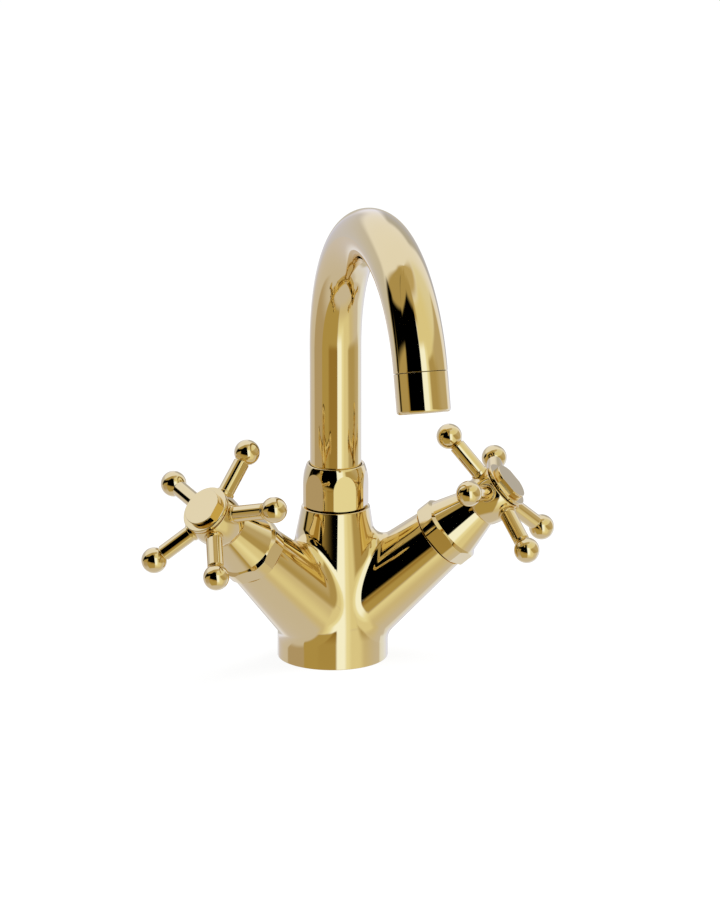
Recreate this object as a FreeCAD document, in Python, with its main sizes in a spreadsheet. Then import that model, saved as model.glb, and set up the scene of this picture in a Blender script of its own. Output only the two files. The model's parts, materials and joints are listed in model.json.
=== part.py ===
import FreeCAD, Part
import math
import os
import re
import Sketcher
from FreeCAD import Vector

# A two-handle basin mixer with a swivelling swan-neck spout.
# The origin is the centre of the round foot on the deck. +Z is up and the spout reaches to -Y.
# Each valve and handle is laid out along its own arm's axis, from the arm's root outwards.

SIZES = {
    # Clearances shared by many pieces
    "fit_clearance": 0.05,
    "swivel_gap": 0.3,
    "overrun": 2.0,
    # Casting: foot, leaning pillar and two arms swept forward
    "base_radius": 23.8,
    "base_height": 10.0,
    "pillar_top_height": 68.2,
    "pillar_top_radius": 14.2,
    "spout_offset": 4.78,
    "arm_root_height": 14.37,
    "arm_root_back": 1.15,
    "arm_rise_angle": 40.73,
    "arm_sweep_angle": 29.06,
    "arm_length": 61.8,
    "arm_root_radius": 20.35,
    "arm_end_radius": 13.86,
    "arm_fillet": 4.0,
    "rim_round": 0.4,
    # Underside: seal groove, supply inlets and fixing stud
    "groove_inner_radius": 19.0,
    "groove_outer_radius": 22.0,
    "groove_depth": 2.0,
    "inlet_spread": 10.0,
    "inlet_radius": 4.5,
    "inlet_depth": 14.0,
    "stud_back": 12.0,
    "stud_radius": 3.4,
    "stud_depth": 14.0,
    # Waterways
    "supply_radius": 3.5,
    "gallery_radius": 12.2,
    "gallery_start": 3.5,
    "gallery_height": 7.0,
    "mixing_radius": 6.0,
    "mixing_floor_drop": 4.8,
    "drill_radius": 3.0,
    # Spout joint
    "spigot_radius": 11.8,
    "spigot_height": 10.0,
    "socket_radius": 9.1,
    "socket_depth": 24.0,
    "ferrule_radius": 9.0,
    "ferrule_bore_radius": 5.8,
    "ferrule_tail": 20.0,
    "ferrule_lift": 0.4,
    "flange_radius": 11.7,
    "flange_height": 3.0,
    "braze_length": 6.0,
    "spout_ring_section": 0.9,
    "spout_ring_spacing": 5.0,
    "slip_ring_height": 0.8,
    "nut_radius": 13.9,
    "nut_flat_radius": 12.97,
    "nut_height": 18.4,
    "nut_chamfer": 0.5,
    "nut_shoulder_height": 9.0,
    "nut_lip": 0.7,
    # Swan neck and outlet
    "tube_radius": 11.0,
    "tube_wall": 1.3,
    "bend_height": 138.84,
    "bend_radius": 59.71,
    "bend_sweep_angle": 164.1,
    "outlet_length": 16.7,
    "outlet_seam": 0.3,
    "outlet_spigot_length": 4.0,
    "outlet_spigot_gap": 0.3,
    "outlet_wall": 0.9,
    "outlet_lip_height": 2.2,
    "outlet_lip": 0.9,
    "outlet_round": 0.6,
    "washer_height": 1.8,
    "washer_width": 2.9,
    "insert_height": 12.0,
    "insert_wall": 0.9,
    "insert_floor": 1.6,
    "jet_radius": 0.9,
    "jet_spacing": 3.1,
    # Valve inside each arm
    "valve_depth": 18.8,
    "seal_height": 2.2,
    "seal_bore_radius": 5.8,
    "disc_radius": 8.2,
    "disc_height": 2.5,
    "port_inner_radius": 2.4,
    "port_outer_radius": 6.2,
    "port_angle": 75.0,
    "cage_radius": 9.3,
    "cage_lift": 1.0,
    "window_width": 7.0,
    "window_height": 3.5,
    "thread_radius": 10.4,
    "thread_length": 7.3,
    "hex_corner_radius": 12.1,
    "hex_flat_radius": 10.6,
    "hex_height": 5.0,
    "neck_radius": 8.2,
    "neck_height": 13.2,
    "spindle_radius": 4.0,
    "spindle_head_radius": 7.9,
    "spindle_head_height": 2.6,
    "tang_length": 10.0,
    "tang_width": 3.0,
    "tang_depth": 0.8,
    "spindle_ring_section": 0.5,
    "spindle_ring_lift": 5.0,
    "spindle_ring_spacing": 5.0,
    "clip_radius": 6.0,
    "clip_height": 0.9,
    "clip_groove_radius": 3.1,
    "clip_slot_width": 4.0,
    # Bonnet over each valve
    "collar_corner_radius": 15.0,
    "collar_flat_radius": 14.15,
    "collar_height": 6.9,
    "collar_chamfer_height": 1.6,
    "cone_start_radius": 13.3,
    "cone_end_radius": 9.05,
    "bonnet_height": 23.1,
    "bonnet_room_radius": 12.6,
    "bonnet_room_height": 5.6,
    "bonnet_roof": 2.9,
    "bonnet_mouth_radius": 5.3,
    # Cross handle
    "handle_gap": 0.45,
    "hub_height": 13.85,
    "hub_foot_radius": 9.7,
    "hub_end_radius": 10.4,
    "hub_barrel_radius": 22.0,
    "hub_seat_radius": 9.9,
    "hub_web_height": 2.0,
    "hub_well_radius": 7.2,
    "hub_well_depth": 5.2,
    "spoke_lift": 9.48,
    "spoke_radius": 3.45,
    "spoke_flange_radius": 3.95,
    "spoke_flange_height": 2.0,
    "spoke_stud_radius": 2.0,
    "spoke_stud_length": 2.2,
    "spoke_neck_radius": 3.05,
    "spoke_neck_length": 0.45,
    "ball_circle_radius": 31.46,
    "ball_radius": 5.45,
    "cap_radius": 10.65,
    "cap_height": 2.0,
    "cap_round": 0.5,
    "cap_plug_height": 1.8,
    "plate_radius": 8.2,
    "plate_flat_radius": 7.4,
    "plate_height": 2.5,
    "plate_round": 0.3,
    "screw_radius": 2.1,
    "screw_length": 8.0,
    "screw_head_radius": 4.0,
    "screw_head_height": 2.6,
    "screw_socket_radius": 1.7,
    "screw_socket_depth": 1.6,
    "screw_hole_gap": 0.5,
}

SPOKE_COUNT = 5
NUT_SIDES = 6
JET_RINGS = 2
FIRST_RING_JETS = 6
SIDES = {"left": "180 + arm_sweep_angle", "right": "-arm_sweep_angle"}
NAME = re.compile("[a-z_]+")

doc = FreeCAD.newDocument("basin_tap")
sheet = doc.addObject("Spreadsheet::Sheet", "tap")
for row, (name, size) in enumerate(SIZES.items(), start=1):
    sheet.set(f"A{row}", name)
    sheet.set(f"B{row}", str(size))
    sheet.setAlias(f"B{row}", name)
doc.recompute()

nodes = []


def bound(formula):
    """Point every size named in a formula at its cell in the sheet."""
    return NAME.sub(lambda word: "tap." + word[0] if word[0] in SIZES else word[0], formula)


def number(formula):
    """The formula's value with the sheet's present sizes."""
    return float(sheet.evalExpression(bound(formula)))


def bind(feature, **formulas):
    """Bind a feature's properties to formulas in the sheet's sizes."""
    for prop, formula in formulas.items():
        feature.setExpression(prop, bound(formula))
    return feature


def place(feature, x="0", y="0", z="0", yaw="0", pitch="0", roll="0"):
    """Bind a feature's placement: a position and the three turns about Z, Y and X."""
    position = f"create(<<vector>>; {x}; {y}; {z})"
    turn = f"create(<<rotation>>; {yaw}; {pitch}; {roll})"
    return bind(feature, Placement=f"create(<<placement>>; {position}; {turn})")


def along_arm(feature, side):
    """Stand a piece that was laid out along Z on one arm's axis."""
    return place(feature, y="arm_root_back", z="arm_root_height",
                 yaw=SIDES[side], pitch="90 - arm_rise_angle")


def node(feature, label):
    """Name a finished piece."""
    feature.Label = label
    nodes.append(feature)
    return feature


def arc_between(start, end, radius):
    """A sketch arc that bulges away from the left of the way from start to end."""
    chord = end - start
    across = Vector(-chord.y, chord.x, 0).normalize()
    rise = math.sqrt(max(radius ** 2 - (chord.Length / 2) ** 2, 0))
    centre = (start + end) / 2 + across * rise
    first = math.atan2(start.y - centre.y, start.x - centre.x)
    last = math.atan2(end.y - centre.y, end.x - centre.x)
    return Part.ArcOfCircle(Part.Circle(centre, Vector(0, 0, 1), radius), first, last)


def draw_outline(sketch, outline):
    """Draw a closed outline whose corners, and the radius of each arc into a corner, are formulas."""
    corners = [Vector(number(corner[0]), number(corner[1]), 0) for corner in outline]
    count = len(outline)
    for index in range(count):
        after = (index + 1) % count
        if len(outline[after]) == 3:
            radius = number(outline[after][2])
            sketch.addGeometry(arc_between(corners[index], corners[after], radius))
        else:
            sketch.addGeometry(Part.LineSegment(corners[index], corners[after]))
    for index in range(count):
        after = (index + 1) % count
        sketch.addConstraint(Sketcher.Constraint("Coincident", index, 2, after, 1))
        for kind, formula in zip(("DistanceX", "DistanceY"), outline[index]):
            rule = Sketcher.Constraint(kind, -1, 1, index, 1, number(formula))
            key = sketch.addConstraint(rule)
            sketch.setExpression(f"Constraints[{key}]", bound(formula))
        if len(outline[after]) == 3:
            rule = Sketcher.Constraint("Radius", index, number(outline[after][2]))
            key = sketch.addConstraint(rule)
            sketch.setExpression(f"Constraints[{key}]", bound(outline[after][2]))


def sketch_on(body, role, name):
    """A sketch on one of a body's own origin planes."""
    sketch = body.newObject("Sketcher::SketchObject", name)
    plane = next(item for item in body.Origin.OriginFeatures if item.Role == role)
    sketch.AttachmentSupport = [(plane, "")]
    sketch.MapMode = "FlatFace"
    return sketch


def turned(name, outline):
    """A piece turned about Z, from its half section as (radius, height) corners, anticlockwise."""
    body = doc.addObject("PartDesign::Body", name)
    sketch = sketch_on(body, "XZ_Plane", name + "_section")
    draw_outline(sketch, outline)
    revolution = body.newObject("PartDesign::Revolution", name + "_turning")
    revolution.Profile = sketch
    revolution.ReferenceAxis = (sketch, ["V_Axis"])
    revolution.Angle = 360
    return body


def cylinder(name, radius, height):
    feature = doc.addObject("Part::Cylinder", name)
    return bind(feature, Radius=radius, Height=height)


def prism(name, sides, flat_radius, height):
    """A regular bar whose flats lie at the given radius, the first corner on +X."""
    feature = doc.addObject("Part::Prism", name)
    feature.Polygon = sides
    return bind(feature, Circumradius=f"({flat_radius}) / cos(180 / {sides})", Height=height)


def box(name, length, width, height):
    feature = doc.addObject("Part::Box", name)
    return bind(feature, Length=length, Width=width, Height=height)


def cut(name, base, tools):
    """Take several tools away from one base."""
    feature = doc.addObject("Part::Cut", name)
    feature.Base = base
    feature.Tool = tools[0] if len(tools) == 1 else joined(name + "_tools", tools)
    return feature


def joined(name, pieces):
    feature = doc.addObject("Part::MultiFuse", name)
    feature.Shapes = pieces
    return feature


def common(name, base, tool):
    feature = doc.addObject("Part::Common", name)
    feature.Base = base
    feature.Tool = tool
    return feature


def group(name, pieces):
    """Several separate solids that share one node."""
    feature = doc.addObject("Part::Compound", name)
    feature.Links = pieces
    return feature


def torus(name, ring_radius, section):
    feature = doc.addObject("Part::Torus", name)
    return bind(feature, Radius1=ring_radius, Radius2=section)


# Places along an arm's axis, counted from the arm's root

SEAT = "arm_length - valve_depth"
GALLERY = f"{SEAT} + gallery_start"
FIXED_DISC = f"{SEAT} + seal_height"
MOVING_DISC = f"{FIXED_DISC} + disc_height + fit_clearance"
SPINDLE_HEAD = f"{MOVING_DISC} + disc_height"
CHAMBER_TOP = f"{SPINDLE_HEAD} + spindle_head_height + fit_clearance"
HEX_TOP = "arm_length + hex_height"
NECK_TOP = f"{HEX_TOP} + neck_height"
CLIP = f"{NECK_TOP} + fit_clearance"
BONNET_TOP = "arm_length + bonnet_height"
HUB = f"{BONNET_TOP} + handle_gap"
HUB_TOP = f"{HUB} + hub_height"
WELL = f"{HUB_TOP} - hub_well_depth"
SPINDLE_TOP = f"{WELL} - hub_web_height - fit_clearance"
SPOKES = f"{HUB} + spoke_lift"
DRILL = f"({GALLERY} + gallery_height / 2)"

# Heights on the spout's axis

MIXING = f"arm_root_height + {DRILL} * sin(arm_rise_angle)"
MIXING_FLOOR = f"{MIXING} - mixing_floor_drop"
SPIGOT_TOP = "pillar_top_height + spigot_height"
FLANGE = f"{SPIGOT_TOP} + ferrule_lift"
TUBE_FOOT = f"{FLANGE} + flange_height"
SLIP_TOP = f"{TUBE_FOOT} + slip_ring_height"
NUT_LEDGE = f"{SLIP_TOP} + fit_clearance"
NUT_TOP = "pillar_top_height + nut_height"
BORE = "tube_radius - tube_wall"


def spout_axis(feature):
    """Move a piece that was laid out on Z to the spout's axis."""
    return place(feature, y="-spout_offset")


def at_outlet(feature):
    """Hang a piece that was laid out along Z from the end of the bend, Z pointing out."""
    return place(feature,
                 y="bend_radius * cos(bend_sweep_angle) - bend_radius - spout_offset",
                 z="bend_height + bend_radius * sin(bend_sweep_angle)",
                 roll="bend_sweep_angle")


# Casting

def casting_form():
    """Foot, leaning pillar and arms, with the arms blended into the pillar."""
    foot = cylinder("foot", "base_radius", "base_height")
    rings = []
    for name, radius, height, back in (("pillar_foot", "base_radius", "base_height", "0"),
                                       ("pillar_head", "pillar_top_radius", "pillar_top_height",
                                        "-spout_offset")):
        ring = bind(doc.addObject("Part::Circle", name), Radius=radius)
        rings.append(place(ring, y=back, z=height))
    pillar = doc.addObject("Part::Loft", "pillar")
    pillar.Sections = rings
    pillar.Solid = True
    pillar.Ruled = True
    limbs = [with_round_rim(pillar)]
    for side in SIDES:
        arm = doc.addObject("Part::Cone", side + "_arm")
        bind(arm, Radius1="arm_root_radius", Radius2="arm_end_radius", Height="arm_length")
        limbs.append(with_round_rim(along_arm(arm, side)))
    rough = joined("rough_casting", [foot] + limbs)
    rough.Refine = True
    above = box("above_deck", "4 * arm_length", "4 * arm_length", "2 * pillar_top_height")
    place(above, x="-2 * arm_length", y="-2 * arm_length")
    trimmed = common("trimmed_casting", rough, above)
    doc.recompute()
    blended = doc.addObject("Part::Fillet", "blended_casting")
    blended.Base = trimmed
    radius = number("arm_fillet")
    blended.Edges = [(index, radius, radius) for index in arm_roots(trimmed.Shape)]
    return blended


def with_round_rim(limb):
    """A pillar or arm with the rim of its upper end rounded."""
    doc.recompute()
    edges = limb.Shape.Edges
    rings = [index for index, edge in enumerate(edges) if edge.isClosed()]
    upper = max(rings, key=lambda index: edges[index].CenterOfMass.z)
    radius = number("rim_round")
    rounded = doc.addObject("Part::Fillet", limb.Name + "_with_round_rim")
    rounded.Base = limb
    rounded.Edges = [(upper + 1, radius, radius)]
    return rounded


def arm_roots(shape):
    """The edges where an arm's cone leaves the pillar's loft."""
    for index, edge in enumerate(shape.Edges, start=1):
        surfaces = {type(face.Surface) for face in shape.ancestorsOfType(edge, Part.Face)}
        if surfaces == {Part.BSplineSurface, Part.Cone}:
            yield index


def valve_bore(side):
    """Threaded bore for a valve, with the gallery that takes the water off round it."""
    radius = "thread_radius + fit_clearance"
    face = "arm_length + overrun"
    bore = turned(side + "_valve_bore", [
        ("0", SEAT), (radius, SEAT), (radius, GALLERY), ("gallery_radius", GALLERY),
        ("gallery_radius", f"{GALLERY} + gallery_height"), (radius, f"{GALLERY} + gallery_height"),
        (radius, face), ("0", face)])
    return along_arm(bore, side)


def supply_drill(side):
    """Drilling along the arm's axis, from above the inlet to the valve's seat."""
    start = "inlet_spread / (cos(arm_rise_angle) * cos(arm_sweep_angle))"
    drill = turned(side + "_supply_drill", [
        ("0", start), ("supply_radius", start), ("supply_radius", f"{SEAT} + overrun"),
        ("0", f"{SEAT} + overrun")])
    return along_arm(drill, side)


def inlet(side, sign):
    """Threaded inlet in the underside, with the passage that rises to the supply drilling."""
    spot = {"x": f"{sign} * inlet_spread", "y": "arm_root_back - inlet_spread * tan(arm_sweep_angle)"}
    rise = "arm_root_height + inlet_spread * tan(arm_rise_angle) / cos(arm_sweep_angle)"
    thread = place(cylinder(side + "_inlet", "inlet_radius", "inlet_depth"), **spot)
    passage = place(cylinder(side + "_rise", "supply_radius", rise), **spot)
    return [thread, passage]


def mixing_drill(side, sign):
    """Level drilling from the valve's gallery to the mixing chamber below the spout."""
    across = f"({DRILL} * cos(arm_rise_angle) * cos(arm_sweep_angle))"
    back = f"(arm_root_back + spout_offset - {DRILL} * cos(arm_rise_angle) * sin(arm_sweep_angle))"
    drill = cylinder(side + "_mixing_drill", "drill_radius", f"sqrt({across}^2 + {back}^2)")
    return place(drill, y="-spout_offset", z=MIXING,
                 yaw=f"{90 - 90 * sign} + {sign} * atan({back} / {across}) / 1 deg", pitch="90")


def mixer_body():
    socket = turned("spout_socket", [
        ("0", MIXING_FLOOR), ("mixing_radius", MIXING_FLOOR),
        ("mixing_radius", f"{SPIGOT_TOP} - socket_depth"),
        ("socket_radius", f"{SPIGOT_TOP} - socket_depth"),
        ("socket_radius", f"{SPIGOT_TOP} + overrun"), ("0", f"{SPIGOT_TOP} + overrun")])
    spigot = turned("thread_spigot", [
        ("0", "pillar_top_height - overrun"), ("spigot_radius", "pillar_top_height - overrun"),
        ("spigot_radius", SPIGOT_TOP), ("0", SPIGOT_TOP)])
    groove = turned("seal_groove", [
        ("groove_inner_radius", "-overrun"), ("groove_outer_radius", "-overrun"),
        ("groove_outer_radius", "groove_depth"), ("groove_inner_radius", "groove_depth")])
    stud = place(cylinder("stud_hole", "stud_radius", "stud_depth"), y="stud_back")
    outside = joined("casting_with_spigot", [casting_form(), spout_axis(spigot)])
    hollows = [spout_axis(socket), groove, stud]
    for side, sign in (("left", -1), ("right", 1)):
        hollows += [valve_bore(side), supply_drill(side), mixing_drill(side, sign)]
        hollows += inlet(side, sign)
    node(cut("mixer_body", outside, hollows), "mixer_body")


def base_seal():
    inner = "groove_inner_radius + fit_clearance"
    outer = "groove_outer_radius - fit_clearance"
    node(turned("base_seal", [(inner, "0"), (outer, "0"), (outer, "groove_depth"),
                              (inner, "groove_depth")]), "base_seal")


# Spout

def spout_nut():
    """Six-sided swivel nut with a rounded shoulder; a flat faces the front."""
    mouth = "tube_radius + swivel_gap"
    top_edge = f"{mouth} + nut_lip"
    drop = f"(nut_radius - {top_edge})"
    shoulder = f"(nut_shoulder_height^2 + {drop}^2) / (2 * {drop})"
    thread = "spigot_radius + fit_clearance"
    blank = turned("nut_blank", [
        (thread, "pillar_top_height"), ("nut_radius - nut_chamfer", "pillar_top_height"),
        ("nut_radius", "pillar_top_height + nut_chamfer"),
        ("nut_radius", f"{NUT_TOP} - nut_shoulder_height"), (top_edge, NUT_TOP, shoulder),
        (mouth, NUT_TOP), (mouth, NUT_LEDGE), (thread, NUT_LEDGE)])
    flats = prism("nut_flats", NUT_SIDES, "nut_flat_radius", NUT_TOP)
    node(spout_axis(common("spout_nut", blank, flats)), "spout_nut")


def spout_tube():
    """Bent tube: a straight leg and one long bend, swept along its centre line."""
    body = doc.addObject("PartDesign::Body", "spout_tube")
    ring = sketch_on(body, "XY_Plane", "tube_section")
    bind(ring, **{"AttachmentOffset.Base.z": TUBE_FOOT})
    for radius in ("tube_radius", BORE):
        circle = ring.addGeometry(Part.Circle(Vector(), Vector(0, 0, 1), number(radius)))
        ring.addConstraint(Sketcher.Constraint("Coincident", circle, 3, -1, 1))
        key = ring.addConstraint(Sketcher.Constraint("Radius", circle, number(radius)))
        bind(ring, **{f"Constraints[{key}]": radius})
    line = sketch_on(body, "YZ_Plane", "tube_centre_line")
    foot, top = number(TUBE_FOOT), number("bend_height")
    radius, sweep = number("bend_radius"), math.radians(number("bend_sweep_angle"))
    line.addGeometry(Part.LineSegment(Vector(0, foot, 0), Vector(0, top, 0)))
    bend = Part.Circle(Vector(-radius, top, 0), Vector(0, 0, 1), radius)
    line.addGeometry(Part.ArcOfCircle(bend, 0, sweep))
    line.addConstraint(Sketcher.Constraint("PointOnObject", 0, 1, -2))
    line.addConstraint(Sketcher.Constraint("Vertical", 0))
    line.addConstraint(Sketcher.Constraint("Tangent", 0, 2, 1, 1))
    rules = (("DistanceY", (-1, 1, 0, 1), foot, TUBE_FOOT), ("DistanceY", (-1, 1, 0, 2), top, "bend_height"),
             ("Radius", (1,), radius, "bend_radius"),
             ("DistanceX", (1, 2, 1, 3), -radius * math.cos(sweep), "-bend_radius * cos(bend_sweep_angle)"))
    for kind, places, size, formula in rules:
        key = line.addConstraint(Sketcher.Constraint(kind, *places, size))
        bind(line, **{f"Constraints[{key}]": formula})
    doc.recompute()
    pipe = body.newObject("PartDesign::AdditivePipe", "tube_sweep")
    pipe.Profile = ring
    pipe.Spine = line
    node(spout_axis(body), "spout_tube")


def spout_ferrule():
    """End fitting brazed into the tube: flange under the nut, ringed tail in the casting's socket."""
    tail = f"{FLANGE} - ferrule_tail"
    groove_floor = "socket_radius - fit_clearance - 2 * spout_ring_section - fit_clearance"
    outline = [("ferrule_bore_radius", tail), ("ferrule_radius", tail)]
    for centre in ring_heights():
        low = f"{centre} - spout_ring_section - fit_clearance"
        high = f"{centre} + spout_ring_section + fit_clearance"
        outline += [("ferrule_radius", low), (groove_floor, low),
                    (groove_floor, high), ("ferrule_radius", high)]
    braze = f"{BORE} - fit_clearance"
    outline += [("ferrule_radius", FLANGE), ("flange_radius", FLANGE), ("flange_radius", TUBE_FOOT),
                (braze, TUBE_FOOT), (braze, f"{TUBE_FOOT} + braze_length"),
                ("ferrule_bore_radius", f"{TUBE_FOOT} + braze_length")]
    node(spout_axis(turned("spout_ferrule", outline)), "spout_ferrule")


def ring_heights():
    """Heights of the two sealing rings on the ferrule's tail."""
    middle = f"{FLANGE} - ferrule_tail / 2"
    return [f"{middle} - spout_ring_spacing / 2", f"{middle} + spout_ring_spacing / 2"]


def spout_seals():
    rings = []
    for index, height in enumerate(ring_heights()):
        ring = torus(f"spout_ring_{index}", "socket_radius - fit_clearance - spout_ring_section",
                     "spout_ring_section")
        rings.append(place(ring, z=height))
    node(spout_axis(group("spout_seals", rings)), "spout_seals")


def spout_slip_ring():
    inner = "tube_radius + fit_clearance"
    node(spout_axis(turned("spout_slip_ring", [
        (inner, TUBE_FOOT), ("flange_radius", TUBE_FOOT), ("flange_radius", SLIP_TOP),
        (inner, SLIP_TOP)])), "spout_slip_ring")


# Outlet

SPIGOT = f"{BORE} - outlet_spigot_gap"
OUTLET_BORE = f"{SPIGOT} - outlet_wall"
OUTLET_LIP = "outlet_length - outlet_lip_height"


def aerator_sleeve():
    """Outlet ring: a spigot up into the tube, a fine seam, and a lip that carries the insert."""
    lip = f"{OUTLET_BORE} - outlet_lip"
    node(at_outlet(turned("aerator_sleeve", [
        (OUTLET_BORE, "-outlet_spigot_length"), (SPIGOT, "-outlet_spigot_length"),
        (SPIGOT, "outlet_seam"), ("tube_radius", "outlet_seam"),
        ("tube_radius", "outlet_length - outlet_round"),
        ("tube_radius - outlet_round", "outlet_length", "outlet_round"),
        (lip, "outlet_length"), (lip, OUTLET_LIP), (OUTLET_BORE, OUTLET_LIP)])), "aerator_sleeve")


def aerator_insert():
    """Cup whose floor is a ring pattern of jets round one in the middle."""
    outer = f"{OUTLET_BORE} - fit_clearance"
    top = f"{OUTLET_LIP} - insert_height"
    floor = f"{OUTLET_LIP} - insert_floor"
    cup = turned("insert_cup", [
        ("0", floor), (f"{outer} - insert_wall", floor), (f"{outer} - insert_wall", top), (outer, top),
        (outer, OUTLET_LIP), ("0", OUTLET_LIP)])
    jets = []
    for ring in range(JET_RINGS + 1):
        count = max(FIRST_RING_JETS * ring, 1)
        for index in range(count):
            jet = cylinder(f"jet_{ring}_{index}", "jet_radius", "insert_floor + 2 * overrun")
            turn = f"360 * {index} / {count}"
            place(jet, x=f"{ring} * jet_spacing * cos({turn})", y=f"{ring} * jet_spacing * sin({turn})",
                  z=f"{floor} - overrun")
            jets.append(jet)
    node(at_outlet(cut("aerator_insert", cup, jets)), "aerator_insert")


def aerator_washer():
    outer = f"{OUTLET_BORE} - fit_clearance"
    bottom = f"{OUTLET_LIP} - insert_height"
    node(at_outlet(turned("aerator_washer", [
        (f"{outer} - washer_width", f"{bottom} - washer_height"), (outer, f"{bottom} - washer_height"),
        (outer, bottom), (f"{outer} - washer_width", bottom)])), "aerator_washer")


# Valve

def headwork(side):
    """Valve housing: slotted cage, thread, spanner hexagon and neck, bored for the spindle."""
    chamber = "disc_radius + fit_clearance"
    spindle_bore = "spindle_radius + fit_clearance"
    thread_start = "arm_length - thread_length"
    foot = f"{SEAT} + cage_lift"
    blank = turned(side + "_headwork_blank", [
        (chamber, foot), ("cage_radius", foot), ("cage_radius", thread_start),
        ("thread_radius", thread_start), ("thread_radius", "arm_length"),
        ("hex_corner_radius", "arm_length"), ("hex_corner_radius", HEX_TOP), ("neck_radius", HEX_TOP),
        ("neck_radius", NECK_TOP), (spindle_bore, NECK_TOP), (spindle_bore, CHAMBER_TOP),
        (chamber, CHAMBER_TOP)])
    hexagon = prism(side + "_headwork_hexagon", NUT_SIDES, "hex_flat_radius", BONNET_TOP)
    window = box(side + "_window", "4 * cage_radius", "window_width", "window_height")
    place(window, x="-2 * cage_radius", y="-window_width / 2", z=MOVING_DISC)
    housing = cut(side + "_headwork", common(side + "_headwork_bar", blank, hexagon), [window])
    node(along_arm(housing, side), side + "_headwork")


def ports(name, start, turn):
    """Two opposite sector-shaped ports through a ceramic disc."""
    low = f"{start} - overrun"
    height = "disc_height + 2 * overrun"
    middle = place(cylinder(name + "_middle", "port_inner_radius", height), z=low)
    sectors = []
    for half in range(2):
        sector = bind(cylinder(f"{name}_{half}", "port_outer_radius", height), Angle="port_angle")
        sectors.append(place(sector, z=low, yaw=f"{turn + 180 * half} - port_angle / 2"))
    return cut(name, joined(name + "_pair", sectors), [middle])


def fixed_disc(side):
    top = f"{FIXED_DISC} + disc_height"
    disc = turned(side + "_fixed_blank", [("0", FIXED_DISC), ("disc_radius", FIXED_DISC),
                                          ("disc_radius", top), ("0", top)])
    holes = ports(side + "_fixed_ports", FIXED_DISC, 0)
    node(along_arm(cut(side + "_fixed_disc", disc, [holes]), side), side + "_fixed_disc")


def moving_disc(side):
    """Disc that the spindle's tang turns; its ports stand across the fixed ones when shut."""
    radius = "spindle_head_radius"
    disc = turned(side + "_moving_blank", [("0", MOVING_DISC), (radius, MOVING_DISC),
                                           (radius, SPINDLE_HEAD), ("0", SPINDLE_HEAD)])
    length = "tang_length + 2 * fit_clearance"
    width = "tang_width + 2 * fit_clearance"
    slot = box(side + "_tang_slot", length, width, "tang_depth + fit_clearance + overrun")
    place(slot, x=f"-({length}) / 2", y=f"-({width}) / 2", z=f"{SPINDLE_HEAD} - tang_depth - fit_clearance")
    holes = ports(side + "_moving_ports", MOVING_DISC, 90)
    node(along_arm(cut(side + "_moving_disc", disc, [holes, slot]), side), side + "_moving_disc")


def seat_seal(side):
    top = FIXED_DISC
    ring = turned(side + "_seat_seal", [("seal_bore_radius", SEAT), ("disc_radius", SEAT),
                                        ("disc_radius", top), ("seal_bore_radius", top)])
    node(along_arm(ring, side), side + "_seat_seal")


def spindle_ring_places():
    """Places of the two sealing rings on the spindle."""
    first = f"{CHAMBER_TOP} + spindle_ring_lift"
    return [first, f"{first} + spindle_ring_spacing"]


def spindle(side):
    """Spindle: drive head with a tang, ringed shaft, clip groove and a tapped end for the screw."""
    ring_floor = "spindle_radius - 2 * spindle_ring_section"
    outline = [("0", SPINDLE_HEAD), ("spindle_head_radius", SPINDLE_HEAD),
               ("spindle_head_radius", f"{SPINDLE_HEAD} + spindle_head_height"),
               ("spindle_radius", f"{SPINDLE_HEAD} + spindle_head_height")]
    grooves = [(ring_floor, f"{centre} - spindle_ring_section - fit_clearance",
                f"{centre} + spindle_ring_section + fit_clearance") for centre in spindle_ring_places()]
    grooves.append(("clip_groove_radius", f"{CLIP} - fit_clearance", f"{CLIP} + clip_height + fit_clearance"))
    for floor, low, high in grooves:
        outline += [("spindle_radius", low), (floor, low), (floor, high), ("spindle_radius", high)]
    thread = "screw_radius + fit_clearance"
    hole_end = f"{SPINDLE_TOP} - screw_length"
    outline += [("spindle_radius", SPINDLE_TOP), (thread, SPINDLE_TOP), (thread, hole_end), ("0", hole_end)]
    tang = box(side + "_tang", "tang_length", "tang_width", "tang_depth + spindle_head_height / 2")
    place(tang, x="-tang_length / 2", y="-tang_width / 2", z=f"{SPINDLE_HEAD} - tang_depth")
    shaft = turned(side + "_spindle_shaft", outline)
    node(along_arm(joined(side + "_spindle", [shaft, tang]), side), side + "_spindle")


def spindle_seals(side):
    rings = []
    for index, height in enumerate(spindle_ring_places()):
        ring = torus(f"{side}_spindle_ring_{index}",
                     "spindle_radius + fit_clearance / 2 - spindle_ring_section", "spindle_ring_section")
        rings.append(place(ring, z=height))
    node(along_arm(group(side + "_spindle_seals", rings), side), side + "_spindle_seals")


def circlip(side):
    inner = "clip_groove_radius + fit_clearance"
    ring = turned(side + "_clip_ring", [
        (inner, CLIP), ("clip_radius", CLIP), ("clip_radius", f"{CLIP} + clip_height"),
        (inner, f"{CLIP} + clip_height")])
    slot = box(side + "_clip_slot", "2 * clip_radius", "clip_slot_width", "clip_height + 2 * overrun")
    place(slot, y="-clip_slot_width / 2", z=f"{CLIP} - overrun")
    node(along_arm(cut(side + "_circlip", ring, [slot]), side), side + "_circlip")


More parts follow.
